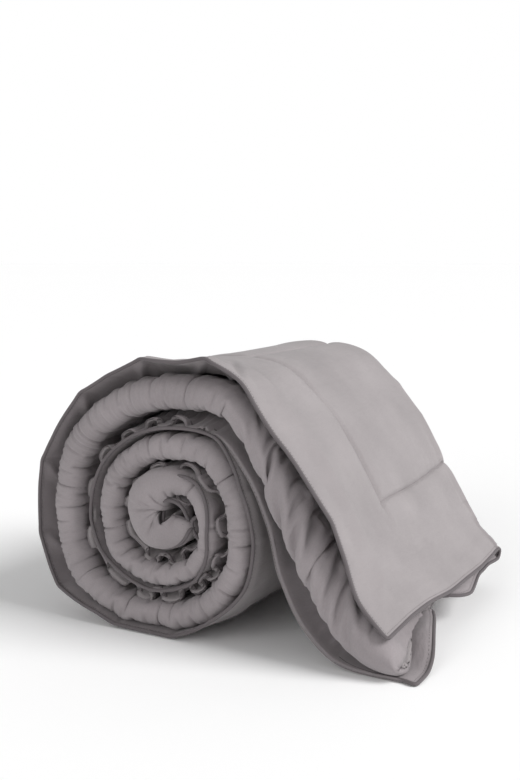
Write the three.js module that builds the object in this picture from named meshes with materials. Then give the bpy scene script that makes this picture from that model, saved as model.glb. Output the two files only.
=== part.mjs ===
// A quilted, piped double duvet, folded in four lengthwise like a W and rolled up, with its end left loose.
// Millimetres. X runs from the roll to the loose end, Y from the front rim to the back, Z up.
// Every piece is drawn on the flat duvet and then folded and rolled:
// u runs across the flat duvet, v runs along it from the loose end, h runs through it to the face fabric.
import * as THREE from "three";

// The flat duvet
const WIDTH = 2000;
const LENGTH = 2200;
const LOFT = 24; // the most that one leaf fills out
const FABRIC = 0.8;
const PIPING_RADIUS = 2.75;
const HEM = 28; // flat border, where the leaf thins towards its piping
const HEM_FILL = 14; // the filling starts this far in
const HEM_HALF = 2.4; // half the leaf's thickness beside the piping
const FRAME_INSET = 184; // frame stitching, from the edge
const CHANNELS = 5; // pads across
const ROWS = 6; // pads along
const STITCH = 4; // width of a row of stitching

// Clearances
const TOUCH = 0.3;
const LEAF_GAP = 2;
const WRAP_GAP = 1;
const FOLD_EASE = 1.5; // the filling draws back from the fabric in the folds
const FLAP_GAP = 1.5; // parting line of the loose end
const PIPING_GAP = 0.5; // between the piping and the fabrics' edges

// The fold: four leaves joined by three half-turns
const LEAVES = 4;
const FOLD_ARC = 30;
const NEUTRAL = 0.6; // share of the strip's thickness, from inside, that keeps its length when rolled

// The rolled profile, drawn for no particular length and then scaled to LENGTH
const ROLL_CENTRE_Z = 176;
const ROLL_START = 60; // degrees above +X where the loose end leaves the roll
const ROLL_OUTLINE = [240, 238, 248, 268, 279, 290, 262, 236, 222, 214, 208, 221]; // one turn from there
const TURNS = 2.75;
const TIGHTEN = [0.44, 0.05]; // how fast the outline shrinks with each turn
const LOOSE_END = [
  { outer: [352, 68], inner: [380, 1] },
  { outer: [312, 114], inner: [322, 0] },
  { outer: [276, 178], inner: [262, 10] },
  { outer: [246, 232], inner: [216, 48] },
  { outer: [208, 292], inner: [178, 115] },
  { outer: [164, 342], inner: [155, 190] },
  { outer: [142, 364], inner: [122, 254] },
];

// ---- The profile: stations along the strip, each from its inner to its outer surface ----

const STEPS_PER_TURN = ROLL_OUTLINE.length;

function outlineRadius(step) {
  const turn = step / STEPS_PER_TURN;
  const shrink = 1 - TIGHTEN[0] * turn + TIGHTEN[1] * turn * turn;
  const wanted = ROLL_OUTLINE[step % STEPS_PER_TURN] * shrink;
  const down = -Math.sin(stepAngle(step));
  return down > 0 ? Math.min(wanted, ROLL_CENTRE_Z / down) : wanted;
}

function stepAngle(step) {
  return THREE.MathUtils.degToRad(ROLL_START + (360 * step) / STEPS_PER_TURN);
}

function onRay(step, radius) {
  const angle = stepAngle(step);
  return new THREE.Vector2(radius * Math.cos(angle), ROLL_CENTRE_Z + radius * Math.sin(angle));
}

function drawnStations() {
  const stations = LOOSE_END.map(({ outer, inner }) => ({
    outer: new THREE.Vector2(...outer),
    inner: new THREE.Vector2(...inner),
  }));
  for (let step = 0; step <= TURNS * STEPS_PER_TURN; step++) {
    stations.push({
      outer: onRay(step, outlineRadius(step)),
      inner: onRay(step, outlineRadius(step + STEPS_PER_TURN)),
    });
  }
  return stations;
}

function neutral(station) {
  return station.inner.clone().lerp(station.outer, NEUTRAL);
}

function measureAlong(stations) {
  stations.forEach((station, i) => {
    station.v = i ? stations[i - 1].v + neutral(station).distanceTo(neutral(stations[i - 1])) : 0;
  });
}

function scaledStations() {
  const stations = drawnStations();
  measureAlong(stations);
  const scale = LENGTH / stations.at(-1).v;
  for (const station of stations) {
    station.outer.multiplyScalar(scale);
    station.inner.multiplyScalar(scale);
    station.v *= scale;
  }
  return stations;
}

// Which way out of the strip is, square to one of its guides.
function guideNormal(stations, i, guide) {
  const ahead = stations[Math.min(i + 1, stations.length - 1)][guide];
  const behind = stations[Math.max(i - 1, 0)][guide];
  const path = ahead.clone().sub(behind).normalize();
  return new THREE.Vector2(path.y, -path.x);
}

// Each leaf's middle surface and normal at every station, from the outermost leaf inwards.
function finishStations(stations) {
  for (const station of stations.slice(LOOSE_END.length)) {
    station.ray = station.outer.clone().sub(station.inner).normalize();
    station.inner.addScaledVector(station.ray, WRAP_GAP);
  }
  stations.forEach((station, i) => {
    const outerNormal = station.ray ?? guideNormal(stations, i, "outer");
    const innerNormal = station.ray ?? guideNormal(stations, i, "inner");
    const across = station.outer.clone().sub(station.inner);
    const square = Math.min(across.dot(outerNormal), across.dot(innerNormal));
    station.half = Math.min(LOFT, (square - (LEAVES - 1) * LEAF_GAP) / LEAVES) / 2;
    station.radius = (square - 2 * station.half) / (2 * (LEAVES - 1)); // of a fold, to the leaf's middle
    const outerRail = station.outer.clone().addScaledVector(outerNormal, -station.half);
    const innerRail = station.inner.clone().addScaledVector(innerNormal, station.half);
    station.leaves = Array.from({ length: LEAVES }, (_, leaf) => ({
      middle: outerRail.clone().lerp(innerRail, leaf / (LEAVES - 1)),
      normal: outerNormal.clone().lerp(innerNormal, leaf / (LEAVES - 1)).normalize(),
    }));
  });
  return stations;
}

const STATIONS = finishStations(scaledStations());
const ROLL_V = STATIONS[LOOSE_END.length].v; // where the strip joins the roll

// ---- Folding and rolling a point of the flat duvet ----

const LEAF = (WIDTH - (LEAVES - 1) * FOLD_ARC) / LEAVES;
const PITCH = LEAF + FOLD_ARC;
const DEPTH = LEAF; // the quilting's puff takes up what the folds reach out

function atStation(station, u, v, level) {
  const leaf = Math.min(Math.floor(u / PITCH), LEAVES - 1);
  const along = u - leaf * PITCH;
  const side = leaf % 2 ? -1 : 1; // which way this leaf's face fabric looks
  const lift = side * level(u, v, station);
  const front = station.radius + station.half;
  const back = DEPTH - front;
  const { middle, normal } = station.leaves[leaf];
  if (along > LEAF) {
    const turn = (Math.PI * (along - LEAF)) / FOLD_ARC;
    const next = station.leaves[leaf + 1];
    const centre = middle.clone().lerp(next.middle, 0.5);
    const arm = middle.clone().sub(centre);
    const outward = normal.clone().lerp(next.normal, (1 - Math.cos(turn)) / 2);
    const p = centre.addScaledVector(arm.addScaledVector(outward, lift), Math.cos(turn));
    const reach = (station.radius + lift) * Math.sin(turn);
    return new THREE.Vector3(p.x, leaf % 2 ? front - reach : back + reach, p.y);
  }
  const near = leaf === 0 || leaf === LEAVES - 1 ? 0 : front;
  const share = leaf % 2 ? 1 - along / LEAF : along / LEAF;
  const p = middle.clone().addScaledVector(normal, lift);
  return new THREE.Vector3(p.x, near + share * (back - near), p.y);
}

function place(u, v, level) {
  let i = 0;
  while (i < STATIONS.length - 2 && STATIONS[i + 1].v <= v) i++;
  const share = (v - STATIONS[i].v) / (STATIONS[i + 1].v - STATIONS[i].v);
  const near = atStation(STATIONS[i], u, v, level);
  return near.lerp(atStation(STATIONS[i + 1], u, v, level), share);
}

// ---- Levels through the thickness ----

function edgeDistance(u, v) {
  return Math.min(u, v, WIDTH - u, LENGTH - v);
}

function inFold(u) {
  const along = u % PITCH;
  return along > LEAF && u < (LEAVES - 1) * PITCH;
}

function leafHalf(u, v, station) {
  const inner = edgeDistance(u, v) - FABRIC_EDGE;
  const share = THREE.MathUtils.clamp(inner / (HEM - FABRIC_EDGE), 0, 1);
  return THREE.MathUtils.lerp(Math.min(HEM_HALF, station.half), station.half, share);
}

function fillHalf(u, v, station) {
  const ease = inFold(u) ? Math.min(FOLD_EASE, station.half / 4) : 0;
  return leafHalf(u, v, station) - FABRIC - TOUCH - ease;
}

function pipingHalf(u, v, station) {
  const offAxis = Math.abs(edgeDistance(u, v) - PIPING_RADIUS);
  const crown = Math.min(PIPING_RADIUS, station.half); // leaves pressed thinner than the piping flatten it
  return offAxis < PIPING_RADIUS / 2 ? crown : crown / 2;
}

const FACE = [(...at) => leafHalf(...at) - FABRIC, leafHalf];
const BACK = [(...at) => -leafHalf(...at), (...at) => FABRIC - leafHalf(...at)];
const FILL = [(...at) => -fillHalf(...at), fillHalf];
const PIPING = [(...at) => -pipingHalf(...at), pipingHalf];

// ---- Grid lines that every piece shares ----

const FABRIC_EDGE = 2 * PIPING_RADIUS + PIPING_GAP;
const FLAP_V = FRAME_INSET - STITCH / 2 - FLAP_GAP;
const FLAP_END = FLAP_V - FLAP_GAP / 2;
const STAY_START = FLAP_V + FLAP_GAP / 2;
const ARC_STEPS = 3;
const LINE_SPACING = 0.4; // a station line closer than this to a seam line is left out

function foldLines() {
  const lines = [];
  for (let leaf = 0; leaf < LEAVES - 1; leaf++) {
    for (let i = 0; i <= ARC_STEPS; i++) lines.push(leaf * PITCH + LEAF + (i * FOLD_ARC) / ARC_STEPS);
  }
  return lines;
}

function seamPlaces(size, pockets) {
  const spacing = (size - 2 * FRAME_INSET) / pockets;
  return Array.from({ length: pockets + 1 }, (_, i) => FRAME_INSET + i * spacing);
}

function hemLines(size) {
  return [HEM_FILL, HEM, size - HEM, size - HEM_FILL];
}

function sorted(lines) {
  return [...new Set(lines)].sort((a, b) => a - b);
}

// The lines that a piece needs, and of the shared ones those that don't crowd them.
function linesBetween(low, high, shared, needed = []) {
  const own = [low, ...needed.filter((line) => line > low && line < high), high];
  const clear = (line) => own.every((other) => Math.abs(line - other) > LINE_SPACING);
  return sorted([...own, ...shared.filter((line) => line > low && line < high && clear(line))]);
}

const HEM_LINES_U = hemLines(WIDTH);
const HEM_LINES_V = hemLines(LENGTH);
const HALF_SEAM = STITCH / 2 + TOUCH;
const U_SEAMS = seamPlaces(WIDTH, CHANNELS);
const V_SEAMS = seamPlaces(LENGTH, ROWS);
const SEAM_LINES_U = U_SEAMS.flatMap((u) => [u - HALF_SEAM, u + HALF_SEAM]).filter(inFold);
const U_LINES = sorted([...HEM_LINES_U, ...foldLines(), ...SEAM_LINES_U]);
const STATION_LINES = STATIONS.map((station) => station.v);
const V_LINES = linesBetween(0, LENGTH, STATION_LINES, HEM_LINES_V);

// ---- Solids ----

// A closed solid over the kept cells of a grid on the flat duvet, between two levels.
function slab(uLines, vLines, [lower, upper], keep = () => true) {
  const across = uLines.length;
  const corner = (i, j) => j * across + i;
  const positions = [];
  for (const level of [lower, upper]) {
    for (const v of vLines) {
      for (const u of uLines) positions.push(...place(u, v, level).toArray());
    }
  }
  const below = 0;
  const above = across * vLines.length;
  const kept = (i, j) => {
    if (i < 0 || j < 0 || i > across - 2 || j > vLines.length - 2) return false;
    return keep((uLines[i] + uLines[i + 1]) / 2, (vLines[j] + vLines[j + 1]) / 2);
  };
  const faces = [];
  // Walls that face each other across a parting line are split along the same diagonal.
  const nearWall = (a, b) => {
    faces.push(above + a, below + a, below + b, above + a, below + b, above + b);
  };
  const farWall = (a, b) => {
    faces.push(above + a, below + a, above + b, below + a, below + b, above + b);
  };
  for (let j = 0; j < vLines.length - 1; j++) {
    for (let i = 0; i < across - 1; i++) {
      if (!kept(i, j)) continue;
      const [a, b, c, d] = [corner(i, j), corner(i + 1, j), corner(i + 1, j + 1), corner(i, j + 1)];
      faces.push(above + a, above + b, above + c, above + a, above + c, above + d);
      faces.push(below + a, below + c, below + b, below + a, below + d, below + c);
      if (!kept(i, j - 1)) nearWall(a, b);
      if (!kept(i + 1, j)) nearWall(b, c);
      if (!kept(i, j + 1)) farWall(c, d);
      if (!kept(i - 1, j)) farWall(d, a);
    }
  }
  return packed(positions, faces);
}

// Leaves out the grid corners that no face uses.
function packed(positions, faces) {
  const used = new Map();
  const kept = [];
  const index = faces.map((corner) => {
    if (!used.has(corner)) {
      used.set(corner, used.size);
      kept.push(...positions.slice(3 * corner, 3 * corner + 3));
    }
    return used.get(corner);
  });
  const geometry = new THREE.BufferGeometry();
  geometry.setAttribute("position", new THREE.Float32BufferAttribute(kept, 3));
  geometry.setIndex(index);
  return geometry;
}

function patch(u0, u1, v0, v1, levels) {
  return slab(linesBetween(u0, u1, U_LINES), linesBetween(v0, v1, V_LINES), levels);
}

// ---- Materials ----

const FACE_CLOTH = new THREE.MeshStandardMaterial({ color: 0x9d9798, roughness: 0.85, metalness: 0 });
const BACK_CLOTH = new THREE.MeshStandardMaterial({ color: 0x989293, roughness: 0.88, metalness: 0 });
const FILLING = new THREE.MeshStandardMaterial({ color: 0xece9e4, roughness: 1, metalness: 0 });
const THREAD = new THREE.MeshStandardMaterial({ color: 0x7b7577, roughness: 0.7, metalness: 0 });
const PIPING_CLOTH = new THREE.MeshStandardMaterial({ color: 0x696466, roughness: 0.8, metalness: 0 });

const duvet = new THREE.Group();

function add(name, geometry, material) {
  const mesh = new THREE.Mesh(geometry, material);
  mesh.name = name;
  duvet.add(mesh);
}

// ---- Fabrics: the loose flap, the rest of the loose end, the roll ----

const STRETCHES = {
  flap: [FABRIC_EDGE, FLAP_END],
  tail: [STAY_START, ROLL_V - TOUCH / 2],
  roll: [ROLL_V + TOUCH / 2, LENGTH - FABRIC_EDGE],
};

for (const [stretch, [v0, v1]] of Object.entries(STRETCHES)) {
  const [u0, u1] = [FABRIC_EDGE, WIDTH - FABRIC_EDGE];
  add(`face_fabric_${stretch}`, patch(u0, u1, v0, v1, FACE), FACE_CLOTH);
  add(`back_fabric_${stretch}`, patch(u0, u1, v0, v1, BACK), BACK_CLOTH);
}

// ---- Filling: a pad in every quilted pocket and the border all round ----

for (let row = 0; row < ROWS; row++) {
  for (let channel = 0; channel < CHANNELS; channel++) {
    const pad = patch(
      U_SEAMS[channel] + HALF_SEAM,
      U_SEAMS[channel + 1] - HALF_SEAM,
      V_SEAMS[row] + HALF_SEAM,
      V_SEAMS[row + 1] - HALF_SEAM,
      FILL,
    );
    add(`fill_pad_${row + 1}_${channel + 1}`, pad, FILLING);
  }
}

const BORDER_IN = FRAME_INSET - HALF_SEAM;
const BORDER_END = LENGTH - HEM_FILL;
const BORDER = {
  flap: [HEM_FILL, WIDTH - HEM_FILL, HEM_FILL, FLAP_END],
  outer_side: [HEM_FILL, BORDER_IN, STAY_START, BORDER_END],
  inner_side: [WIDTH - BORDER_IN, WIDTH - HEM_FILL, STAY_START, BORDER_END],
  core: [BORDER_IN + TOUCH, WIDTH - BORDER_IN - TOUCH, LENGTH - BORDER_IN, BORDER_END],
};

for (const [side, range] of Object.entries(BORDER)) {
  add(`fill_border_${side}`, patch(...range, FILL), FILLING);
}

// ---- Quilting: rows of lockstitch that part the pockets ----

function around(seam) {
  return [seam - STITCH / 2, seam + STITCH / 2];
}

function frameStitching() {
  const edges = (size) => [...around(FRAME_INSET), ...around(size - FRAME_INSET)];
  const [u0, u1, u2, u3] = edges(WIDTH);
  const [v0, v1, v2, v3] = edges(LENGTH);
  const uLines = linesBetween(u0, u3, U_LINES, [u1, u2]);
  const vLines = linesBetween(v0, v3, V_LINES, [v1, v2]);
  return slab(uLines, vLines, FILL, (u, v) => u < u1 || u > u2 || v < v1 || v > v2);
}

add("stitching_frame", frameStitching(), THREAD);

function gridStitching() {
  const rows = (seams) => seams.slice(1, -1).flatMap(around);
  const lines = (seams, shared) => {
    return linesBetween(seams[0] + HALF_SEAM, seams.at(-1) - HALF_SEAM, shared, rows(seams));
  };
  const onRow = (seams, at) => seams.slice(1, -1).some((seam) => Math.abs(at - seam) < STITCH / 2);
  const keep = (u, v) => onRow(U_SEAMS, u) || onRow(V_SEAMS, v);
  return slab(lines(U_SEAMS, U_LINES), lines(V_SEAMS, V_LINES), FILL, keep);
}

add("stitching_grid", gridStitching(), THREAD);

// ---- Piping all round, parted where the flap lifts ----

function piping(v0, v1) {
  const rim = (size) => [PIPING_RADIUS, 2 * PIPING_RADIUS].flatMap((d) => [d, size - d]);
  const uLines = linesBetween(0, WIDTH, U_LINES, rim(WIDTH));
  const vLines = linesBetween(v0, v1, V_LINES, rim(LENGTH));
  return slab(uLines, vLines, PIPING, (u, v) => edgeDistance(u, v) < 2 * PIPING_RADIUS);
}

add("piping_flap", piping(0, FLAP_END), PIPING_CLOTH);
add("piping_roll", piping(STAY_START, LENGTH), PIPING_CLOTH);

// ---- Origin: the middle of the footprint, on the floor ----

const box = new THREE.Box3().setFromObject(duvet);
const centre = box.getCenter(new THREE.Vector3());
duvet.position.set(-centre.x, -centre.y, -box.min.z);

export default duvet;
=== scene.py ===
import math

import bpy
import numpy as np
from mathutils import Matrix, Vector


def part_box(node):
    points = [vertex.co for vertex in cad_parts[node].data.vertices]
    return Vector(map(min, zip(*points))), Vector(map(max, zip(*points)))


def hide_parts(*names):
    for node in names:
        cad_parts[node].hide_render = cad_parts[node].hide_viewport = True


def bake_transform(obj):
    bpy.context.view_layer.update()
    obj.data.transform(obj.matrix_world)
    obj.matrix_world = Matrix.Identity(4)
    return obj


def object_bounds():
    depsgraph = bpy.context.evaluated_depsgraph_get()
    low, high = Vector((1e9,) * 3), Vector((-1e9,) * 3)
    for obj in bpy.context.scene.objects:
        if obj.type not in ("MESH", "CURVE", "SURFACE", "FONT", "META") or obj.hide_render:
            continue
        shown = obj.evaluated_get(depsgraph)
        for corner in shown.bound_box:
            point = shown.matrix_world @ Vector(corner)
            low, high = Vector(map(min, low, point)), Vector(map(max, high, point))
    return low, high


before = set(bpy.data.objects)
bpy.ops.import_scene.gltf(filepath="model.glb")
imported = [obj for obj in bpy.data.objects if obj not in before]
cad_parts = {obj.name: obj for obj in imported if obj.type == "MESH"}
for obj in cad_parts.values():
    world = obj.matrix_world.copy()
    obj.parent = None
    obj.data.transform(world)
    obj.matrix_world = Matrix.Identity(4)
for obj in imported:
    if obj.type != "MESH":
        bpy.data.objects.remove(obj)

CAD_LOW, CAD_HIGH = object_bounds()
RNG = np.random.default_rng(7)
WAVES = np.random.default_rng(11)
MM = 0.001

# ---- The flat duvet, as in the CAD ----

WIDTH, LENGTH = 2.0, 2.2
LOFT = 0.024
LEAST_THICKNESS = 0.003
LEAF_GAP = 0.002
WRAP_GAP = 0.001
PIPING_RADIUS = 2.75 * MM
FRAME_INSET = 0.184
CHANNELS, ROWS = 5, 6
LEAVES = 4
FOLD_ARC = 0.030
LEAST_FOLD_RADIUS = 0.001
LEAF = (WIDTH - (LEAVES - 1) * FOLD_ARC) / LEAVES
PITCH = LEAF + FOLD_ARC
FRONT_FOLD = WIDTH / 2
NEUTRAL = 0.6  # where between the inner guide and the outer one the strip keeps its length

# ---- The rolled profile, as in the CAD: its outlines are in millimetres ----

ROLL_CENTRE_Z = 0.176
ROLL_START = 60
ROLL_OUTLINE = [240, 238, 248, 268, 279, 290, 262, 236, 222, 214, 208, 221]
STEPS = len(ROLL_OUTLINE)
TURNS = 2.75
TIGHTEN = (0.44, 0.05)
LOOSE_OUTER = [(352, 68), (312, 114), (276, 178), (246, 232), (208, 292), (164, 342), (142, 364)]
LOOSE_INNER = [(380, 1), (322, 0), (262, 10), (216, 48), (178, 115), (155, 190), (122, 254)]
SAMPLES_PER_STEP = 24

# The strip's end swells across the middle of the roll, from the first of these steps on.
CORE_STEP, CORE_STEPS, CORE_SWELL = 25, 5, 0.040
PAST_END = 0.05  # how far the profile goes on past the loose end, for what is drawn forward

# ---- Shared formulas ----


def unit(vectors):
    return vectors / np.maximum(np.linalg.norm(vectors, axis=-1, keepdims=True), 1e-12)


def lengths_along(curve):
    return np.concatenate([[0], np.cumsum(np.linalg.norm(np.diff(curve, axis=0), axis=1))])


def ramp(x, zero, one):
    """0 up to the first place and 1 from the second on, in either direction, and smooth between them."""
    share = np.clip((x - zero) / (one - zero), 0, 1)
    return share * share * (3 - 2 * share)


def pillow(distance, reach, least=0.0):
    """A round edge: the least height at no distance, and the full height from the reach on."""
    share = np.clip(distance / reach, 0, 1)
    return least + (1 - least) * np.sqrt(1 - (1 - share) ** 2)


# ---- The strip's two guides ----


def step_angle(step):
    return math.radians(ROLL_START + 360 * step / STEPS)


def outline_radius(step):
    turn = step / STEPS
    wanted = ROLL_OUTLINE[step % STEPS] * MM * (1 - TIGHTEN[0] * turn + TIGHTEN[1] * turn * turn)
    down = -math.sin(step_angle(step))
    return min(wanted, ROLL_CENTRE_Z / down) if down > 0 else wanted


def on_ray(step, radius):
    angle = step_angle(step)
    return radius * math.cos(angle), ROLL_CENTRE_Z + radius * math.sin(angle)


def core_fill(step):
    return CORE_SWELL * min(max((step - CORE_STEP) / CORE_STEPS, 0), 1)


def guides():
    """The corners of the strip's outer and inner guide, from the loose end to the core."""
    steps = range(int(TURNS * STEPS) + 1)
    outer = [(x * MM, z * MM) for x, z in LOOSE_OUTER]
    outer += [on_ray(s, outline_radius(s)) for s in steps]
    inner = [(x * MM, z * MM) for x, z in LOOSE_INNER]
    inner += [on_ray(s, outline_radius(s + STEPS) + WRAP_GAP - core_fill(s)) for s in steps]
    return np.array(outer), np.array(inner)


def smooth_curve(points, per):
    """A smooth curve through the points, with the same number of samples in each span."""
    span = np.linalg.norm(np.diff(points, axis=0), axis=1)[:, None]
    slope = np.diff(points, axis=0) / span
    inside = (span[1:] * slope[:-1] + span[:-1] * slope[1:]) / (span[1:] + span[:-1])
    slopes = np.vstack([slope[:1], inside, slope[-1:]])
    t = np.linspace(0, 1, per, endpoint=False)[:, None]
    start, start_slope = 2 * t**3 - 3 * t**2 + 1, t**3 - 2 * t**2 + t
    end, end_slope = 3 * t**2 - 2 * t**3, t**3 - t**2
    curve = [
        start * p + start_slope * h * m + end * q + end_slope * h * n
        for p, q, m, n, h in zip(points, points[1:], slopes, slopes[1:], span)
    ]
    return np.vstack([*curve, points[-1:]])


def guide_normals(curve):
    tangent = unit(np.gradient(curve, axis=0))
    return np.stack([tangent[:, 1], -tangent[:, 0]], axis=1)


def measured_profile():
    """Lengths along the neutral line and the outer guide, and at each of them the two guides, their
    normals, the leaves' half thickness and the folds' radius."""
    corners = guides()
    outer, inner = (smooth_curve(c, SAMPLES_PER_STEP) for c in corners)
    outer[:, 1] = np.maximum(outer[:, 1], 0)
    inner[:, 1] = np.maximum(inner[:, 1], 0)
    neutral = inner + NEUTRAL * (outer - inner)
    normals = guide_normals(outer), guide_normals(inner)
    square = np.minimum(*[((outer - inner) * n).sum(1) for n in normals])
    half = np.clip((square - (LEAVES - 1) * LEAF_GAP) / LEAVES, LEAST_THICKNESS, LOFT) / 2
    radius = np.maximum((square - 2 * half) / (2 * (LEAVES - 1)), LEAST_FOLD_RADIUS)
    scale = LENGTH / lengths_along(neutral)[-1]
    at, outer_at = (lengths_along(c) * scale for c in (neutral, outer))

    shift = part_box("face_fabric_roll")[0].x - corners[0][:, 0].min()
    outer[:, 0] += shift
    inner[:, 0] += shift
    beyond = PAST_END / at[2]
    curves = [np.concatenate([c[:1] + beyond * (c[:1] - c[2:3]), c]) for c in (outer, inner)]
    curves += [np.concatenate([c[:1], c]) for c in (*normals, half, radius)]
    curves[1][0, 1] = max(curves[1][0, 1], 0)
    return np.concatenate([[-PAST_END], at]), np.concatenate([[-PAST_END], outer_at]), *curves


AT, OUTER_AT, *CURVES = measured_profile()


def profile(v):
    """The measured profile at each v of an array."""
    def sample(values):
        if values.ndim == 1:
            return np.interp(v, AT, values)
        return np.stack([np.interp(v, AT, values[:, i]) for i in range(2)], axis=-1)

    outer, inner, outer_normal, inner_normal, half, radius = (sample(values) for values in CURVES)
    return outer, inner, unit(outer_normal), unit(inner_normal), half, radius


# ---- The grid on the flat duvet ----

# Spacing of the lines: close at the rims and the front, closest at the folds.
FINE, MEDIUM, COARSE, ARC = 0.0055, 0.009, 0.022, 0.0026
U_STOPS = [(0, FINE), (0.08, FINE), (0.1, MEDIUM), (0.44, MEDIUM), (0.47, ARC), (0.515, ARC), (0.55, COARSE)]
U_STOPS += [(0.88, COARSE), (0.91, FINE), (0.97, ARC), (1.03, ARC), (1.09, FINE), (1.12, COARSE)]
U_STOPS += [(1.44, COARSE), (1.485, ARC), (1.53, ARC), (1.56, COARSE)]
U_STOPS += [(1.84, COARSE), (1.88, FINE), (2.01, FINE)]
V_STOPS = [(0, 0.011), (0.2, 0.012), (LENGTH, 0.012)]
COARSEST = 4  # the wrinkles start on every fourth line along v


def seam_places(size, pockets):
    return np.linspace(FRAME_INSET, size - FRAME_INSET, pockets + 1)


def fold_edges():
    return [leaf * PITCH + LEAF + end for leaf in range(LEAVES - 1) for end in (0, FOLD_ARC)]


def graded(size, stops, needed):
    """Lines from 0 to size whose spacing follows the stops, moved so that each needed line is one of them."""
    at, spacing = zip(*stops)
    lines = [0.0]
    while lines[-1] < size:
        lines.append(lines[-1] + float(np.interp(lines[-1], at, spacing)))
    lines = np.array(lines) * size / lines[-1]
    fixed = np.array(sorted({0.0, size, *needed}))
    index = [int(np.argmin(abs(lines - f))) for f in fixed]
    return np.interp(np.arange(len(lines)), index, fixed)


U_SEAMS, V_SEAMS = seam_places(WIDTH, CHANNELS), seam_places(LENGTH, ROWS)
U = graded(WIDTH, U_STOPS, [*U_SEAMS, *fold_edges()])
V_COARSE = graded(LENGTH, V_STOPS, V_SEAMS)
V = np.interp(np.arange((len(V_COARSE) - 1) * COARSEST + 1) / COARSEST, np.arange(len(V_COARSE)), V_COARSE)
UU, VV = np.meshgrid(U, V)
LEAF_OF = np.minimum((UU / PITCH).astype(int), LEAVES - 1)
SIDE_RIM = np.minimum(UU, WIDTH - UU)
RIM = np.minimum(SIDE_RIM, np.minimum(VV, LENGTH - VV))
FROM_FOLD = abs(UU - FRONT_FOLD)

# ---- Regions of the flat duvet, as shares from 0 to 1 ----

OUTER_LEAF = ramp(UU, 0.80, 0.30)
FOLD_LEAVES = ramp(FROM_FOLD, 0.32, 0.16)
FOLD_FRONT = ramp(FROM_FOLD, 0.10, 0.03)
ROLLED_UP = ramp(VV, 0.42, 0.54)
CORE = ramp(VV, LENGTH - 0.20, LENGTH - 0.10)

# ---- How the layers slide on each other along the roll ----

# At the loose end: places across the duvet, and how far each is drawn back.
DRAWN_BACK = [
    (0, 0), (0.45, 0), (0.55, 0.018), (0.7, 0.004), (0.85, -0.018), (1.0, -0.034),
    (1.2, 0.02), (1.35, 0.05), (1.5, 0.08), (1.8, 0.055), (1.93, 0), (2, 0),
]
DRAWN_BACK_REACH = 0.32
CROSS_SEAM_DRAWN, CROSS_SEAM_REACH = 0.020, 0.16
TUCK, TUCK_DRAWN = 0.034, 2.2  # the front fold's hem is turned in at the loose end
END_WAVE_REACH = 0.14


def wave(at, size, spacing, height):
    """A random height every so far along a rim, joined by straight lengths."""
    count = int(size / spacing) + 1
    return np.interp(at, np.linspace(0, size, count), WAVES.normal(0, height, count))


END_WAVE = wave(U, WIDTH, spacing=0.075, height=0.0042)[None, :]
SIDE_WAVE = wave(V, LENGTH, spacing=0.062, height=0.0036)[:, None]


def slid():
    """Where along the profile each point lies. The outer leaf keeps its length; the inner ends draw back."""
    kept = (np.interp(VV, OUTER_AT, AT) - VV) * ramp(VV, 1.0, 0.5)
    tuck = TUCK_DRAWN * FOLD_LEAVES * np.maximum(TUCK - VV, 0)
    end = np.interp(UU, *zip(*DRAWN_BACK)) * ramp(VV, DRAWN_BACK_REACH, 0)
    cross_seam = CROSS_SEAM_DRAWN * OUTER_LEAF * ramp(abs(VV - FRAME_INSET), CROSS_SEAM_REACH, 0)
    return VV + OUTER_LEAF * kept + tuck + (end - cross_seam) + END_WAVE * ramp(VV, END_WAVE_REACH, 0)


PROFILE = profile(slid())
HALF = PROFILE[4]

# ---- How the folded strip's shape changes at the front fold and at its two ends ----

TUCKED_LEAST, TUCKED_REACH = 0.12, 0.075
CORE_END_LEAST, CORE_END_REACH = 0.5, 0.04
NARROW_LOOSE, NARROW_ROLLED = 0.30, 0.18
NARROW_OUTER_SIDE = 0.4
FOLD_DRAWN_IN = 0.022
CORE_CURL = np.array((0.006, 0.009))
SAG, SAG_REACH = 0.018, 0.3
CURL, CURL_REACH = 0.040, 0.085


def fold_open():
    """The front fold closes like a pillow at both ends, and at the loose end its hem is tucked in."""
    tucked = pillow(VV - TUCK, TUCKED_REACH, TUCKED_LEAST)
    rounded = pillow(LENGTH - VV, CORE_END_REACH, CORE_END_LEAST)
    return np.minimum(tucked, rounded)


def inner_narrow():
    """Between its two ends, the front fold is narrower than the leaves behind it."""
    along = ramp(VV, 0.05, 0.17) * ramp(VV, LENGTH - 0.10, LENGTH - 0.22)
    share = NARROW_LOOSE - (NARROW_LOOSE - NARROW_ROLLED) * ROLLED_UP
    return share * along * ramp(FROM_FOLD, 0.20, 0.05)


def end_curl():
    """The inner leaf's end rises off the floor behind its corner."""
    rise = ramp(UU, 1.955, 1.895) * ramp(UU, 1.55, 1.65)
    return CURL * rise * ramp(VV, CURL_REACH, 0)


FOLD_OPEN = fold_open()
INNER_NARROW = inner_narrow()
FOLD_SAG = SAG * ramp(FROM_FOLD, SAG_REACH, 0) * ramp(VV, SAG_REACH, 0)
END_CURL = end_curl()


def rails(leaf):
    """The middle line of a leaf, counted from the outer one, and its outward direction."""
    outer, inner, outer_normal, inner_normal, half, _ = PROFILE
    outer_rail = outer - half[..., None] * outer_normal
    inner_rail = inner + half[..., None] * inner_normal
    share = (leaf / (LEAVES - 1))[..., None]
    normal = unit(outer_normal + share * (inner_normal - outer_normal))
    return outer_rail + share * (inner_rail - outer_rail), normal


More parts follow.
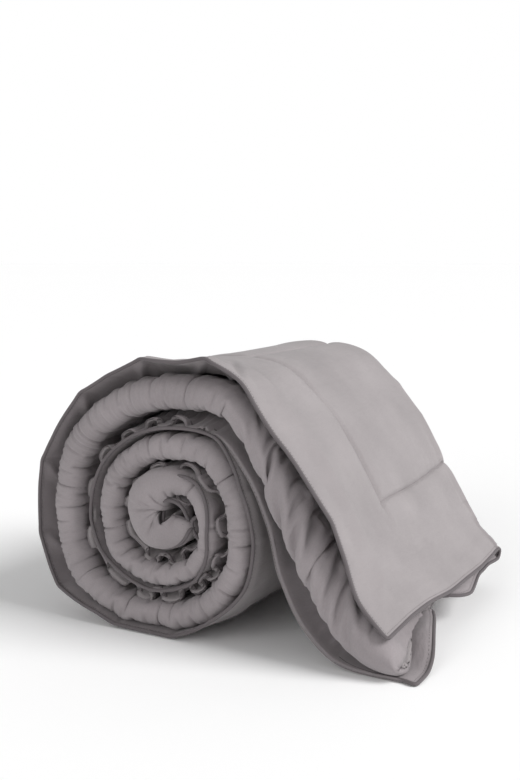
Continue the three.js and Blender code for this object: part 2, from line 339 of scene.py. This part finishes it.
def folded(h):
    """Each grid point, raised by h and folded in four: its place in the roll's plane, and its depth y."""
    half, radius = PROFILE[4:]
    along = UU - LEAF_OF * PITCH
    odd = LEAF_OF % 2 == 1
    lift = h * np.where(odd, -1, 1)
    middle, normal = rails(LEAF_OF)
    next_middle, next_normal = rails(np.minimum(LEAF_OF + 1, LEAVES - 1))
    front = radius + half
    back = LEAF - front
    near = np.where((LEAF_OF == 0) | (LEAF_OF == LEAVES - 1), 0, front)
    share = np.where(odd, 1 - along / LEAF, along / LEAF)
    flat = middle + normal * lift[..., None]
    flat_y = near + share * (back - near)

    turn = math.pi * np.clip((along - LEAF) / FOLD_ARC, 0, 1)
    cos = np.cos(turn)[..., None]
    centre = (middle + next_middle) / 2
    outward = normal + (next_normal - normal) * (1 - cos) / 2
    arc = centre + (middle - centre + outward * lift[..., None]) * cos
    reach = (radius + lift) * np.sin(turn)
    arc_y = np.where(odd, front - reach, back + reach)
    in_arc = along > LEAF
    return np.where(in_arc[..., None], arc, flat), np.where(in_arc, arc_y, flat_y) + CAD_LOW.y


def rolled(h):
    """Each grid point of the flat duvet, raised by h, folded and rolled."""
    xz, y = folded(h)
    plane, normal = rails(np.full(UU.shape, (LEAVES - 1) / 2))
    off = ((xz - plane) * normal).sum(-1)
    narrow = np.where(off < 0, INNER_NARROW, NARROW_OUTER_SIDE * INNER_NARROW)
    kept = (1 - FOLD_LEAVES * (1 - FOLD_OPEN)) * (1 - narrow)
    xz = xz - normal * (off * (1 - kept))[..., None]
    xz = xz + ramp(VV, LENGTH - 0.15, LENGTH - 0.03)[..., None] * CORE_CURL
    xz = xz - normal * FOLD_SAG[..., None]
    y = y + FOLD_DRAWN_IN * (1 - FOLD_OPEN) * ramp(FROM_FOLD, 0.08, 0)
    return np.stack([xz[..., 0], y, xz[..., 1] + END_CURL], axis=-1)


# ---- The filled thickness, pinched at the stitched rows ----

SHOULDER = 0.035  # how far from a row the filling reaches its full height
SEAM_SHARE = 0.04
NARROW_THINNER = 0.6
NORMAL_STEP = 0.0005
HEM_STITCH, HEM, HEM_SHOULDER = 0.0058, 0.026, 0.05
HEM_HALF = 0.0034
# Distance from the rim, and the half thickness there: the piping's seam, its row of stitching, the hem.
HEM_PROFILE = [
    (0, 0.0004), (HEM_STITCH - 0.002, 0.0018), (HEM_STITCH, 0.0009),
    (HEM_STITCH + 0.004, 0.0022), (HEM, HEM_HALF),
]
HEM_SET, HEM_SET_REACH = 0.003, 0.12  # how far in from a leaf's face side the hems lie
SEAM_RISE, SEAM_SINK = 0.16, 0.86  # shares of the half thickness
TUCK_RISE = 0.006
BULGE, BULGE_OUTER, BULGE_ENDS = 0.002, 0.006, 0.012
BULGE_REACH, BULGE_END_REACH, BULGE_CORE = 0.08, 0.16, 1.3


def seam_distance():
    def to_lines(across, along, places, size):
        past = np.maximum(np.maximum(FRAME_INSET - along, along - (size - FRAME_INSET)), 0)
        return np.min([np.hypot(across - p, past) for p in places], axis=0)

    return np.minimum(to_lines(UU, VV, U_SEAMS, LENGTH), to_lines(VV, UU, V_SEAMS, WIDTH))


SEAM = seam_distance()
PUFF = pillow(SEAM, SHOULDER)


def half_thickness():
    hem = np.interp(RIM, *zip(*HEM_PROFILE))
    rise = ramp(RIM, HEM, HEM + HEM_SHOULDER) * (HALF - HEM_HALF)
    puffed = np.minimum(hem + rise, HALF) * (SEAM_SHARE + (1 - SEAM_SHARE) * PUFF)
    return puffed * (1 - NARROW_THINNER * INNER_NARROW)


def middle_shift():
    """The hems lie towards the face fabric. Stitched rows lie near the outside of the outer leaf and
    near the outside of the front fold."""
    hem = (HALF - HEM_SET) * ramp(SIDE_RIM, HEM_SET_REACH, 0)
    seams = SEAM_RISE * HALF * (1 - PUFF) * (LEAF_OF == 0) * ramp(RIM, 0.04, 0.14)
    tucked = TUCK_RISE * FOLD_LEAVES * ramp(VV, TUCK, 0)
    fold = -SEAM_SINK * HALF * (1 - PUFF) * FOLD_FRONT
    return np.maximum(hem, seams) + fold + tucked


def fold_bulge():
    """The front fold fills the room between the two hems."""
    outer_side = ramp(UU, FRONT_FOLD + 0.03, FRONT_FOLD - 0.03)
    ends = ramp(VV, BULGE_END_REACH, 0) + BULGE_CORE * CORE
    height = BULGE + BULGE_OUTER * outer_side + BULGE_ENDS * ends
    return height * ramp(FROM_FOLD, FOLD_ARC / 2 + BULGE_REACH, FOLD_ARC / 2) * PUFF


THICK = half_thickness()
SHIFT = middle_shift()
MIDDLE = rolled(SHIFT)
NORMAL = unit(rolled(SHIFT + NORMAL_STEP) - rolled(SHIFT - NORMAL_STEP))
REST = np.stack([rolled(SHIFT + THICK), rolled(SHIFT - THICK - fold_bulge())])

# ---- Ruffles of the inner hem and pleats of the outer one ----

# How uneven a measure is along v: at how many places it is drawn, its least and its most.
RUFFLE_SPACINGS, RUFFLE_SIZES = (44, 0.6, 1.6), (30, 0.3, 1.3)
RUFFLE, RUFFLE_HEIGHT = 0.072, 0.0095
RUFFLE_LEAN, RUFFLE_FLARE = 0.5, 0.006
RUFFLE_EXCESS, RUFFLE_INSIDE = 0.6, 1.05
RUFFLE_REACH = 0.05
PLEATS_START, PLEATS = 0.40, 9
PLEAT_SPANS, PLEAT_SIZES = (0.055, 0.115), (0.5, 1.2)
PLEAT_OUT, PLEAT_HEIGHT, PLEAT_LIFT, PLEAT_CREASE = 0.004, 0.006, 0.005, 0.0045
PLEAT_REACH, CREASE_HALF_WIDTH, CREASE_SLANT = 0.085, 0.008, 0.7
SIDE_WAVE_OUT = 1.3


def uneven(count, least, most):
    """A random value at so many places along v, and straight between them."""
    return np.interp(V, np.linspace(0, LENGTH, count), RNG.uniform(least, most, count))


def ruffles():
    """The inner hem has more length than the roll gives it, so it stands up in loops."""
    ahead = np.gradient(MIDDLE[:, -1], axis=0)
    room = np.linalg.norm(ahead, axis=-1) / np.gradient(V)
    spacing = RUFFLE * uneven(*RUFFLE_SPACINGS)
    loops = np.cumsum(np.diff(V) / ((spacing[1:] + spacing[:-1]) / 2))
    phase = np.concatenate([[0], loops]) * 2 * math.pi
    size = uneven(*RUFFLE_SIZES)
    excess = np.sqrt(np.clip(1 / room - 1, 0, RUFFLE_EXCESS))
    height = np.minimum(RUFFLE * room / math.pi * excess, RUFFLE_HEIGHT) * size
    out = -height * (RUFFLE_INSIDE + np.sin(phase))
    lean = -RUFFLE_LEAN * height * np.sin(2 * phase + 0.3)
    flare = -RUFFLE_FLARE * size * np.cos(phase + 0.9)
    move = out[:, None, None] * NORMAL + lean[:, None, None] * unit(ahead)[:, None]
    move[..., 1] += flare[:, None]
    return move * (ramp(UU, WIDTH - RUFFLE_REACH, WIDTH) * ROLLED_UP)[..., None]


def outer_pleats():
    """The outer hem stands away from the roll's upper left, in straight lengths between pleats."""
    corners = np.cumsum(np.concatenate([[PLEATS_START], RNG.uniform(*PLEAT_SPANS, PLEATS)]))
    heights = RNG.uniform(*PLEAT_SIZES, len(corners))
    span = np.clip(np.searchsorted(corners, V) - 1, 0, len(corners) - 2)
    share = np.clip((V - corners[span]) / (corners[span + 1] - corners[span]), 0, 1)
    height = (heights[span] + (heights[span + 1] - heights[span]) * share) * (2 * share - 1) ** 2
    where = ramp(V, 0.34, 0.46) * ramp(V, 1.05, 0.85)
    out = (PLEAT_OUT + PLEAT_HEIGHT * height) * where + PLEAT_LIFT * ramp(abs(V - 0.50), 0.16, 0)
    pulled = ramp(UU, PLEAT_REACH, 0)
    crease = sum(np.exp(-(((VV - c - CREASE_SLANT * UU) / CREASE_HALF_WIDTH) ** 2)) for c in corners)
    crease = crease * ramp(UU, 0, 0.02) * ramp(UU, 0.12, 0.07) * where[:, None]
    away = (out[:, None] + SIDE_WAVE_OUT * SIDE_WAVE) * pulled - PLEAT_CREASE * crease
    move = away[..., None] * NORMAL
    move[..., 1] += ((PLEAT_OUT * height * where)[:, None] + SIDE_WAVE) * pulled
    return move


HEM_MOVE = ruffles() + outer_pleats()
REST += HEM_MOVE
MIDDLE += HEM_MOVE

# ---- The fabrics' wrinkles: each edge has its flat length, and the rolled shape gives it less room ----

# Each pass works on every so many lines along v, for so many steps, with so much smoothing.
PASSES = [(COARSEST, 170, 0.09), (2, 120, 0.042), (1, 70, 0.022)]
STIFF_ACROSS, STIFF_ALONG, STIFF_DIAGONAL = 0.28, 0.32, 0.08
DAMPING = 0.997

# Shares of extra length that an edge may have: everywhere, at the front fold, at seams, at side hems.
EASE, FOLD_EASE, SEAM_EASE, HEM_EASE, ROLLED_HEM_EASE = 0.010, 0.16, 0.02, 0.012, 0.03
LOOSE_FOLD_SHARE = 0.85  # how much of the front fold's ease is left where the strip isn't rolled up
SEAM_EASE_REACH, HEM_EASE_REACH = 0.03, 0.08
# The most length as a multiple of the rolled shape's own, and how much less of it there is
# along the rolled inner hem and across the outer leaf's end.
MOST_EXCESS, LESS_INNER_HEM, LESS_OUTER_END = 1.6, 0.52, 0.55
CAP, FOLD_CAP, CAP_REACH = 0.003, 0.009, 0.06  # how far the fabric may stand off its rolled shape
INNER_HEM_BEND = 1.5
APART = 1.5  # the least distance between the two fabrics, in half thicknesses
FLOOR_GAP = 0.0006
OUTER_END = (UU < LEAF) * ramp(VV, 0.32, 0.20)
JOINED = (SEAM < 0.001) | (RIM < 1e-6)

# Noise that starts the wrinkles: cells a metre along v and across u, and the weight of each.
KICK_CELLS, KICK, FOLD_KICK = [(14, 6, 0.8), (26, 9, 1.0), (50, 12, 0.6)], 0.0011, 0.8
LEAN_CELLS, LEAN = [(12, 9, 1.0), (34, 14, 0.7)], 0.0006
HEM_KICK_CELLS, HEM_KICK = [(9, 1, 1.0), (16, 1, 0.8)], 0.0045
SIDE_PUCKER_CELLS, END_PUCKER_CELLS, PUCKER = [(64, 3, 1.0)], [(5, 44, 1.0)], 0.0010
HEM_KICK_REACH = 0.06


def smooth_noise(cells, strength):
    """Noise on coarse grids of so many cells a metre along v and u, spread over the fine one."""
    field = np.zeros(UU.shape)
    for along, across, weight in cells:
        n_r, n_c = int(LENGTH * along) + 1, int(WIDTH * across) + 1
        coarse = RNG.standard_normal((n_r + 3, n_c + 3))
        r, c = V / LENGTH * n_r, U / WIDTH * n_c
        r0, c0 = r.astype(int), c.astype(int)
        fr, fc = ramp(r - r0, 0, 1)[:, None], ramp(c - c0, 0, 1)[None, :]
        a = coarse[np.ix_(r0, c0)] * (1 - fc) + coarse[np.ix_(r0, c0 + 1)] * fc
        b = coarse[np.ix_(r0 + 1, c0)] * (1 - fc) + coarse[np.ix_(r0 + 1, c0 + 1)] * fc
        field += weight * (a * (1 - fr) + b * fr)
    return strength * field


class Cloth:
    """Both fabrics on some of the lines along v: springs with their flat lengths, in each leaf's room."""

    def __init__(self, step):
        def thinned(grid):
            return grid[::step].astype(np.float32)

        self.shape = REST[:, ::step].astype(np.float32)
        self.normal, self.middle = thinned(NORMAL), thinned(MIDDLE)
        fold, rolled_up = thinned(FOLD_FRONT), thinned(ROLLED_UP)
        side_rim = thinned(ramp(SIDE_RIM, HEM_EASE_REACH, 0))
        rolled_inner_hem = side_rim * (UU[::step] > FRONT_FOLD) * rolled_up
        fold_share = LOOSE_FOLD_SHARE + (1 - LOOSE_FOLD_SHARE) * rolled_up
        ease = EASE + FOLD_EASE * fold * fold_share + SEAM_EASE * thinned(np.exp(-SEAM / SEAM_EASE_REACH))
        ease += ROLLED_HEM_EASE * side_rim * rolled_up + HEM_EASE * side_rim
        less = LESS_INNER_HEM * rolled_inner_hem + LESS_OUTER_END * OUTER_END[::step]
        self.springs = self.made_springs(step, ease, (MOST_EXCESS - less).astype(np.float32))

        off = ((self.shape - self.middle) * self.normal).sum(-1)
        cap = CAP + FOLD_CAP * fold + thinned(ramp(RIM, CAP_REACH, 0)) * (thinned(HALF) - CAP)
        self.low, self.high = off - cap, off + cap
        self.bend = 1 + INNER_HEM_BEND * rolled_inner_hem[..., None]
        self.joined = JOINED[::step][..., None]
        self.apart = thinned(APART * THICK)

    def made_springs(self, step, ease, most):
        """The points that each kind of spring joins, its lengths and its stiffness."""
        x = self.shape
        du, dv = np.diff(U).astype(np.float32), np.diff(V[::step]).astype(np.float32)

        def allowed(flat, a, b, slack):
            now = np.linalg.norm(b - a, axis=-1)
            longest = now * most[: now.shape[1], : now.shape[2]]
            return np.clip(flat, now * (1 + slack), longest).astype(np.float32)

        across = allowed(du[None, None], x[:, :, :-1], x[:, :, 1:], EASE)
        along = allowed(dv[None, :, None], x[:, :-1], x[:, 1:], ease[:-1][None])
        diagonal = np.hypot((across[:, :-1] + across[:, 1:]) / 2, (along[:, :, :-1] + along[:, :, 1:]) / 2)
        every, lo, hi = slice(None), slice(None, -1), slice(1, None)
        return [
            ((every, every, lo), (every, every, hi), across, STIFF_ACROSS),
            ((every, lo, every), (every, hi, every), along, STIFF_ALONG),
            ((every, lo, lo), (every, hi, hi), diagonal, STIFF_DIAGONAL),
            ((every, hi, lo), (every, lo, hi), diagonal, STIFF_DIAGONAL),
        ]

    def settle(self, x, times, smoothing):
        for _ in range(times):
            pull = np.zeros_like(x)
            for a, b, rest, stiffness in self.springs:
                d = x[b] - x[a]
                length = np.sqrt((d * d).sum(-1))
                d *= (stiffness * (length - rest) / np.maximum(length, 1e-7))[..., None]
                pull[a] += d
                pull[b] -= d
            x += pull
            moved = x - self.shape
            x = self.shape + DAMPING * (moved + smoothing * self.bend * (spread(moved) - moved))
            off = ((x - self.middle) * self.normal).sum(-1)
            x += (np.clip(off, self.low, self.high) - off)[..., None] * self.normal
            gap = ((x[0] - x[1]) * self.normal).sum(-1)
            push = np.maximum(self.apart - gap, 0)[..., None] * self.normal / 2
            x[0] += push
            x[1] -= push
            x = np.where(self.joined, ((x[0] + x[1]) / 2)[None], x)
            x[..., 2] = np.maximum(x[..., 2], FLOOR_GAP)
        return x


def spread(moved):
    """Each point's mean of its four neighbours."""
    mean = moved.copy()
    across = (moved[:, :, :-2] + moved[:, :, 2:]) / 2
    along = (moved[:, :-2] + moved[:, 2:]) / 2
    mean[:, 1:-1, 1:-1] = (across[:, 1:-1] + along[:, :, 1:-1]) / 2
    mean[:, 1:-1, [0, -1]] = along[:, :, [0, -1]]
    mean[:, [0, -1], 1:-1] = across[:, [0, -1]]
    return mean


def refined(moved):
    """Twice the lines along v."""
    rows = moved.shape[1] * 2 - 1
    fine = np.empty((2, rows, *moved.shape[2:]), np.float32)
    fine[:, ::2] = moved
    fine[:, 1::2] = (moved[:, 1:] + moved[:, :-1]) / 2
    return fine


def kicks():
    """How far each point of both fabrics starts off its rolled shape."""
    both = smooth_noise(KICK_CELLS, KICK) * (1 + FOLD_KICK * FOLD_FRONT)
    lean = smooth_noise(LEAN_CELLS, LEAN)
    hem = ramp(SIDE_RIM, HEM_KICK_REACH, 0)
    hem_kick = smooth_noise(HEM_KICK_CELLS, HEM_KICK) * hem
    puckers = smooth_noise(SIDE_PUCKER_CELLS, PUCKER) * hem
    puckers += smooth_noise(END_PUCKER_CELLS, PUCKER) * ramp(VV, HEM_KICK_REACH, 0)
    return (np.stack([both + lean, both - lean]) + hem_kick + puckers)[..., None] * NORMAL[None]


def wrinkled():
    """Both fabrics, settled on coarse lines first and then on finer ones."""
    start, moved = kicks(), None
    for step, times, smoothing in PASSES:
        cloth = Cloth(step)
        moved = start[:, ::step].astype(np.float32) if moved is None else refined(moved)
        moved = cloth.settle(cloth.shape + moved, times, smoothing) - cloth.shape
    return (cloth.shape + moved).astype(float)


SHEETS = wrinkled()

# ---- The two fabrics ----


def make_mesh(name, points, faces, uv=None):
    mesh = bpy.data.meshes.new(name)
    mesh.vertices.add(len(points))
    mesh.vertices.foreach_set("co", np.asarray(points, np.float32).ravel())
    faces = np.asarray(faces, np.int32)
    mesh.loops.add(faces.size)
    mesh.loops.foreach_set("vertex_index", faces.ravel())
    mesh.polygons.add(len(faces))
    mesh.polygons.foreach_set("loop_start", np.arange(0, faces.size, faces.shape[1], dtype=np.int32))
    mesh.polygons.foreach_set("loop_total", np.full(len(faces), faces.shape[1], np.int32))
    mesh.update(calc_edges=True)
    mesh.validate()
    mesh.polygons.foreach_set("use_smooth", np.ones(len(faces), bool))
    if uv is not None:
        layer = mesh.uv_layers.new(name="flat")
        layer.data.foreach_set("uv", np.asarray(uv, np.float32)[faces.ravel()].ravel())
    made = bpy.data.objects.new(name, mesh)
    bpy.context.scene.collection.objects.link(made)
    return made


def grid_faces(rows, columns):
    index = np.arange(rows * columns).reshape(rows, columns)
    a, b, c, d = index[:-1, :-1], index[:-1, 1:], index[1:, 1:], index[1:, :-1]
    return np.stack([a, b, c, d], axis=-1).reshape(-1, 4)


FLAT_UV = np.stack([UU, VV], axis=-1).reshape(-1, 2)
QUADS = grid_faces(*UU.shape)
face_cover = make_mesh("face_cover", SHEETS[0].reshape(-1, 3), QUADS, FLAT_UV)
back_cover = make_mesh("back_cover", SHEETS[1].reshape(-1, 3), QUADS[:, ::-1], FLAT_UV)

# ---- The piping ----

PIPING_SIDES, PIPING_STEP, PIPING_EASE = 10, 0.004, 3
ACROSS_START = (0.3, 0.2, 0.9)  # any direction that isn't along the first length


def tube(name, path, radius, sides):
    """A closed cord round a closed path."""
    ahead = unit(np.roll(path, -1, axis=0) - np.roll(path, 1, axis=0))
    frames = [unit(np.cross(ahead[0], ACROSS_START))]
    for tangent in ahead[1:]:
        frames.append(unit(frames[-1] - tangent * (frames[-1] @ tangent)))
    side = np.array(frames)
    up = np.cross(ahead, side)
    angle = 2 * math.pi * np.arange(sides) / sides
    ring = side[:, None] * np.cos(angle)[None, :, None] + up[:, None] * np.sin(angle)[None, :, None]
    points = path[:, None] + radius * ring
    a = np.arange(len(path) * sides).reshape(len(path), sides)
    b = np.roll(a, -1, axis=1)
    faces = np.stack([a, b, np.roll(b, -1, axis=0), np.roll(a, -1, axis=0)], axis=-1).reshape(-1, 4)
    flat = np.broadcast_arrays((angle * radius)[None, :], lengths_along(path)[:, None])
    return make_mesh(name, points.reshape(-1, 3), faces, np.stack(flat, axis=-1).reshape(-1, 2))


def resampled(path, spacing):
    closed = np.vstack([path, path[:1]])
    along = lengths_along(closed)
    at = np.linspace(0, along[-1], int(along[-1] / spacing), endpoint=False)
    return np.stack([np.interp(at, along, closed[:, i]) for i in range(3)], axis=1)


def rim_path():
    top = (SHEETS[0] + SHEETS[1]) / 2
    return np.vstack([top[:-1, 0], top[-1, :-1], top[:0:-1, -1], top[0, :0:-1]])


def relaxed(path, times):
    for _ in range(times):
        path = path * 0.5 + (np.roll(path, 1, axis=0) + np.roll(path, -1, axis=0)) * 0.25
    return path


PIPING_PATH = relaxed(resampled(rim_path(), PIPING_STEP), PIPING_EASE)
PIPING_PATH[:, 2] = np.maximum(PIPING_PATH[:, 2], PIPING_RADIUS)
piping = tube("piping", PIPING_PATH, PIPING_RADIUS, PIPING_SIDES)

# ---- The stitches ----

STITCH_PITCH, STITCH_LENGTH, STITCH_RADIUS = 0.0044, 0.0034, 0.00042
QUILTING_LIFT, HEM_STITCH_LIFT = 0.0003, 0.0001
SHEET_NORMALS = [unit(np.cross(np.gradient(x, axis=1), np.gradient(x, axis=0))) for x in SHEETS]
OUT_OF_SHEET = [math.copysign(1, (SHEET_NORMALS[0] * NORMAL).sum(-1).mean()) * n for n in SHEET_NORMALS]
OUT_OF_SHEET[1] = -OUT_OF_SHEET[1]


def on_sheet(grid, u, v):
    """The grid's value at points of the flat duvet."""
    c, r = np.interp(u, U, np.arange(len(U))), np.interp(v, V, np.arange(len(V)))
    c0, r0 = np.minimum(c.astype(int), len(U) - 2), np.minimum(r.astype(int), len(V) - 2)
    fc, fr = (c - c0)[:, None], (r - r0)[:, None]
    near = grid[r0, c0] * (1 - fc) + grid[r0, c0 + 1] * fc
    far = grid[r0 + 1, c0] * (1 - fc) + grid[r0 + 1, c0 + 1] * fc
    return near * (1 - fr) + far * fr


def stitch_row(start, end):
    """The ends of each stitch of a straight row on the flat duvet."""
    start, end = np.array(start), np.array(end)
    length = np.linalg.norm(end - start)
    at = np.arange(STITCH_PITCH / 2, length - STITCH_LENGTH, STITCH_PITCH)[:, None]
    ahead = (end - start) / length
    return start + ahead * at, start + ahead * (at + STITCH_LENGTH)


def rectangle(inset):
    u0, u1, v0, v1 = inset, WIDTH - inset, inset, LENGTH - inset
    corners = [(u0, v0), (u1, v0), (u1, v1), (u0, v1)]
    return list(zip(corners, corners[1:] + corners[:1]))


def stitches(name, rows, lift):
    """Short threads along rows of the flat duvet, on both fabrics: four sides, with a point at each end."""
    first, last = (np.vstack(ends) for ends in zip(*[stitch_row(*row) for row in rows]))
    points = []
    for grid, normals in zip(SHEETS, OUT_OF_SHEET):
        a, b = on_sheet(grid, *first.T), on_sheet(grid, *last.T)
        out = unit(on_sheet(normals, *((first + last) / 2).T))
        side = unit(np.cross(b - a, out))
        middle = (a + b) / 2 + out * lift
        ring = [middle + STITCH_RADIUS * d for d in (side, out, -side, -out)]
        points.append(np.stack([a, *ring, b], axis=1).reshape(-1, 3))
    points = np.vstack(points)
    one = np.array([[0, 2, 1], [0, 3, 2], [0, 4, 3], [0, 1, 4], [5, 1, 2], [5, 2, 3], [5, 3, 4], [5, 4, 1]])
    starts = 6 * np.arange(len(points) // 6)
    return make_mesh(name, points, (starts[:, None, None] + one).reshape(-1, 3))


QUILT_ROWS = rectangle(FRAME_INSET)
QUILT_ROWS += [((u, FRAME_INSET), (u, LENGTH - FRAME_INSET)) for u in U_SEAMS[1:-1]]
QUILT_ROWS += [((FRAME_INSET, v), (WIDTH - FRAME_INSET, v)) for v in V_SEAMS[1:-1]]
quilting_stitches = stitches("quilting_stitches", QUILT_ROWS, QUILTING_LIFT)
hem_stitches = stitches("hem_stitches", rectangle(HEM_STITCH), HEM_STITCH_LIFT)

# ---- Materials ----

PATCH_SCALE, PATCH_DETAIL = 9, 5
NAP_SCALE, NAP_DETAIL, NAP_SHARE, NAP_HEIGHT = 700, 3, 0.45, 0.0005
CREASE_SCALE, CREASE_DETAIL, CREASE_HEIGHT = (26, 60, 1), 4, 0.004
DARKER, LIGHTER = 0.86, 1.12
SHEEN_ROUGHNESS = 0.55
FABRIC = {"roughness": 0.9, "sheen": 0.15, "relief": 0.5, "creases": 0.65}


def linear(r, g, b):
    return [c / 12.92 if c <= 0.04045 else ((c + 0.055) / 1.055) ** 2.4 for c in (r / 255, g / 255, b / 255)]


def noise(nodes, scale, detail):
    made = nodes.new("ShaderNodeTexNoise")
    made.inputs["Scale"].default_value = scale
    made.inputs["Detail"].default_value = detail
    return made


def bump(nodes, strength, height):
    made = nodes.new("ShaderNodeBump")
    made.inputs["Strength"].default_value = strength
    made.inputs["Distance"].default_value = height
    return made


def cloth_material(name, colour, roughness, sheen, relief, creases=0.0):
    """Brushed cloth: a fine nap, patches a little darker and lighter, and for the fabrics shallow creases."""
    material = bpy.data.materials.new(name)
    material.use_nodes = True
    nodes, links = material.node_tree.nodes, material.node_tree.links
    shader = nodes["Principled BSDF"]
    shader.inputs["Roughness"].default_value = roughness
    shader.inputs["Sheen Weight"].default_value = sheen
    shader.inputs["Sheen Roughness"].default_value = SHEEN_ROUGHNESS
    uv = nodes.new("ShaderNodeUVMap")
    uv.uv_map = "flat"

    patches, nap = noise(nodes, PATCH_SCALE, PATCH_DETAIL), noise(nodes, NAP_SCALE, NAP_DETAIL)
    blend = nodes.new("ShaderNodeMath")
    blend.operation = "MULTIPLY_ADD"
    blend.inputs[1].default_value = NAP_SHARE
    ramp_node = nodes.new("ShaderNodeValToRGB")
    dark, light = ramp_node.color_ramp.elements
    dark.position, dark.color = 0.45, (*[c * DARKER for c in colour], 1)
    light.position, light.color = 1.0, (*[min(c * LIGHTER, 1) for c in colour], 1)
    links.new(uv.outputs["UV"], patches.inputs["Vector"])
    links.new(uv.outputs["UV"], nap.inputs["Vector"])
    links.new(nap.outputs["Fac"], blend.inputs[0])
    links.new(patches.outputs["Fac"], blend.inputs[2])
    links.new(blend.outputs[0], ramp_node.inputs["Fac"])
    links.new(ramp_node.outputs["Color"], shader.inputs["Base Color"])

    nap_bump = bump(nodes, relief, NAP_HEIGHT)
    links.new(nap.outputs["Fac"], nap_bump.inputs["Height"])
    if creases:
        stretch = nodes.new("ShaderNodeMapping")
        stretch.inputs["Scale"].default_value = CREASE_SCALE
        soft = noise(nodes, 1, CREASE_DETAIL)
        crease_bump = bump(nodes, creases, CREASE_HEIGHT)
        links.new(uv.outputs["UV"], stretch.inputs["Vector"])
        links.new(stretch.outputs["Vector"], soft.inputs["Vector"])
        links.new(soft.outputs["Fac"], crease_bump.inputs["Height"])
        links.new(crease_bump.outputs["Normal"], nap_bump.inputs["Normal"])
    links.new(nap_bump.outputs["Normal"], shader.inputs["Normal"])
    return material


FACE_CLOTH = cloth_material("face_cloth", linear(148, 142, 143), **FABRIC)
BACK_CLOTH = cloth_material("back_cloth", linear(144, 137, 139), **FABRIC)
# The piping is cut from the fabrics' own cloth, but its colour here is much darker than theirs.
PIPING_CLOTH = cloth_material("piping_cloth", linear(94, 88, 90), roughness=0.85, sheen=0.1, relief=0.4)
THREAD = cloth_material("thread", linear(96, 90, 92), roughness=0.6, sheen=0.0, relief=0.1)
face_cover.data.materials.append(FACE_CLOTH)
back_cover.data.materials.append(BACK_CLOTH)
piping.data.materials.append(PIPING_CLOTH)
quilting_stitches.data.materials.append(THREAD)
hem_stitches.data.materials.append(THREAD)

# ---- The pieces, baked in place, and the CAD bodies they stand for, which are hidden ----

NODES = sorted(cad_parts)

for piece, slot, stands_for in (
    (face_cover, "face_cloth", ("face_fabric", "fill")),
    (back_cover, "back_cloth", ("back_fabric",)),
    (piping, "piping_cloth", ("piping",)),
    (quilting_stitches, "thread", ("stitching",)),
    (hem_stitches, "thread", ()),
):
    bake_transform(piece)
    if stands_for:
        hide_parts(*[n for n in NODES if n.startswith(stands_for)])

# ---- Camera ----

CAMERA_PLACE = (0.8077, -1.5435, 0.583)
AZIMUTH, PITCH_DOWN = math.radians(29.1), math.radians(7.7)
SENSOR, LENS = 36, 50.77

camera_data = bpy.data.cameras.new("camera")
camera_data.sensor_width = SENSOR
camera_data.lens = LENS
camera = bpy.data.objects.new("camera", camera_data)
bpy.context.scene.collection.objects.link(camera)
camera.location = CAMERA_PLACE
camera.rotation_euler = (math.pi / 2 - PITCH_DOWN, 0, AZIMUTH)
bpy.context.scene.camera = camera

# ---- Floor, light and white surround ----

FLOOR = 30
FLOOR_WHITE, FLOOR_ROUGHNESS, FLOOR_GLOSS = 0.96, 0.9, 0.2
WORLD_LIGHT = 0.42
DOME_RADIUS = 28


def floor_material():
    material = bpy.data.materials.new("floor_white")
    material.use_nodes = True
    shader = material.node_tree.nodes["Principled BSDF"]
    shader.inputs["Base Color"].default_value = (FLOOR_WHITE, FLOOR_WHITE, FLOOR_WHITE, 1)
    shader.inputs["Roughness"].default_value = FLOOR_ROUGHNESS
    shader.inputs["Specular IOR Level"].default_value = FLOOR_GLOSS
    return material


FLOOR_CORNERS = [(-FLOOR, -FLOOR, 0), (FLOOR, -FLOOR, 0), (FLOOR, FLOOR, 0), (-FLOOR, FLOOR, 0)]
floor = make_mesh("floor", FLOOR_CORNERS, [(0, 1, 2, 3)])
floor.data.materials.append(floor_material())


def sun(name, towards, strength, angle):
    data = bpy.data.lights.new(name, "SUN")
    data.energy, data.angle = strength, math.radians(angle)
    light = bpy.data.objects.new(name, data)
    light.rotation_euler = Vector(towards).to_track_quat("Z", "Y").to_euler()
    bpy.context.scene.collection.objects.link(light)


sun("key", towards=(0.75, 0.12, 0.62), strength=2.7, angle=30)
sun("soft_fill", towards=(-0.1, -0.85, 0.35), strength=0.85, angle=40)
world = bpy.data.worlds.new("world")
world.use_nodes = True
world.node_tree.nodes["Background"].inputs["Color"].default_value = (1, 1, 1, 1)
world.node_tree.nodes["Background"].inputs["Strength"].default_value = WORLD_LIGHT
bpy.context.scene.world = world
bpy.context.scene.view_settings.view_transform = "Standard"


def backdrop():
    """A white surround that only the camera sees, so that it throws no light."""
    material = bpy.data.materials.new("backdrop_white")
    material.use_nodes = True
    nodes = material.node_tree.nodes
    nodes.clear()
    glow, output = nodes.new("ShaderNodeEmission"), nodes.new("ShaderNodeOutputMaterial")
    material.node_tree.links.new(glow.outputs[0], output.inputs["Surface"])
    bpy.ops.mesh.primitive_uv_sphere_add(segments=48, ring_count=24, radius=DOME_RADIUS)
    dome = bpy.context.object
    dome.name = "backdrop"
    dome.data.materials.append(material)
    for kind in ("diffuse", "glossy", "transmission", "volume_scatter", "shadow"):
        setattr(dome, "visible_" + kind, False)


backdrop()

bpy.context.view_layer.update()
